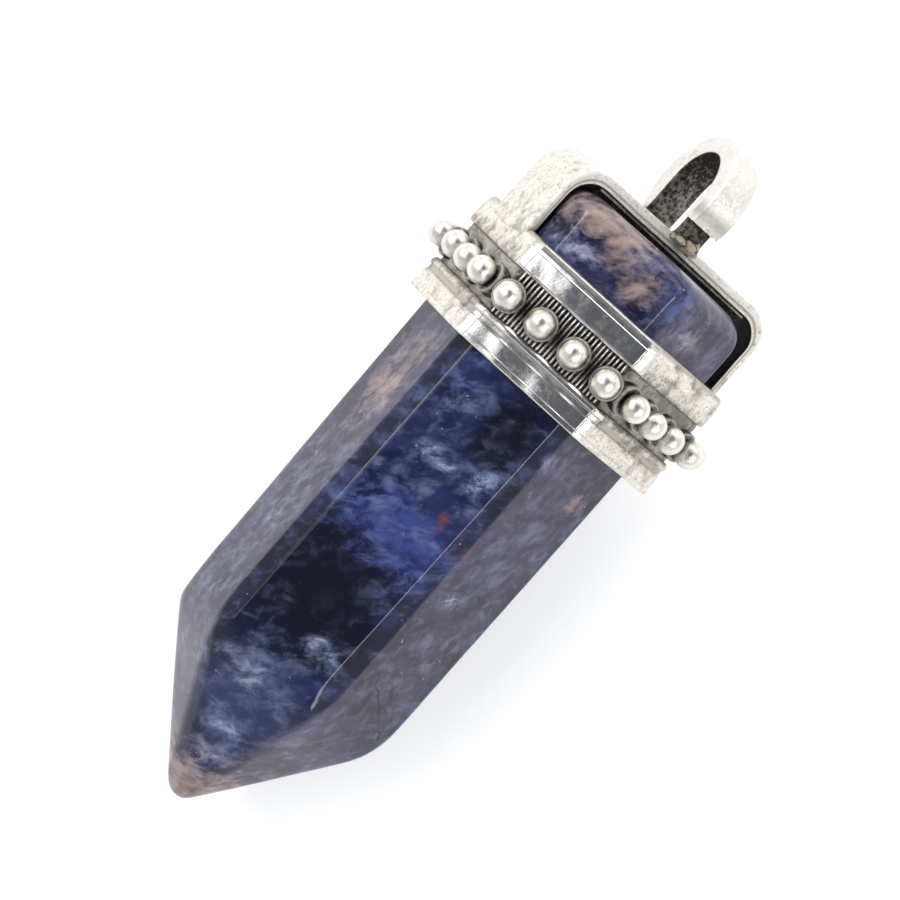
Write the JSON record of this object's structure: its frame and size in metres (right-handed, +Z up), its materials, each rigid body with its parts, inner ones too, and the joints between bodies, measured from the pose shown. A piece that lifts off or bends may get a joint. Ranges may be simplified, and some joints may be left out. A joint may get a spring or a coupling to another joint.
{
  "type": "crystal point pendant",
  "caption": "Six-sided pointed stone in a cast metal cap with a beaded collar, a strap over its flat end and a broad bail for a chain or cord, lying on its side.",
  "frame": {"origin": "on the surface that the pendant lies on, below the centre of its bounding box", "axes": "+Z up from the surface, +Y along the pendant from the stone's tip towards the bail, +X to the right as seen with the bail pointing up the page; the pendant's own axis rises 7 degrees towards the bail"},
  "size_m": [0.025, 0.0596, 0.0232],
  "materials": {
    "stone": null,
    "antique_silver": "antique silver over cast zinc alloy, bright on raised edges and black in the recesses"
  },
  "bodies": {
    "root": {"crystal_point": "stone", "cast_cap": "antique_silver"}
  },
  "joints": []
}
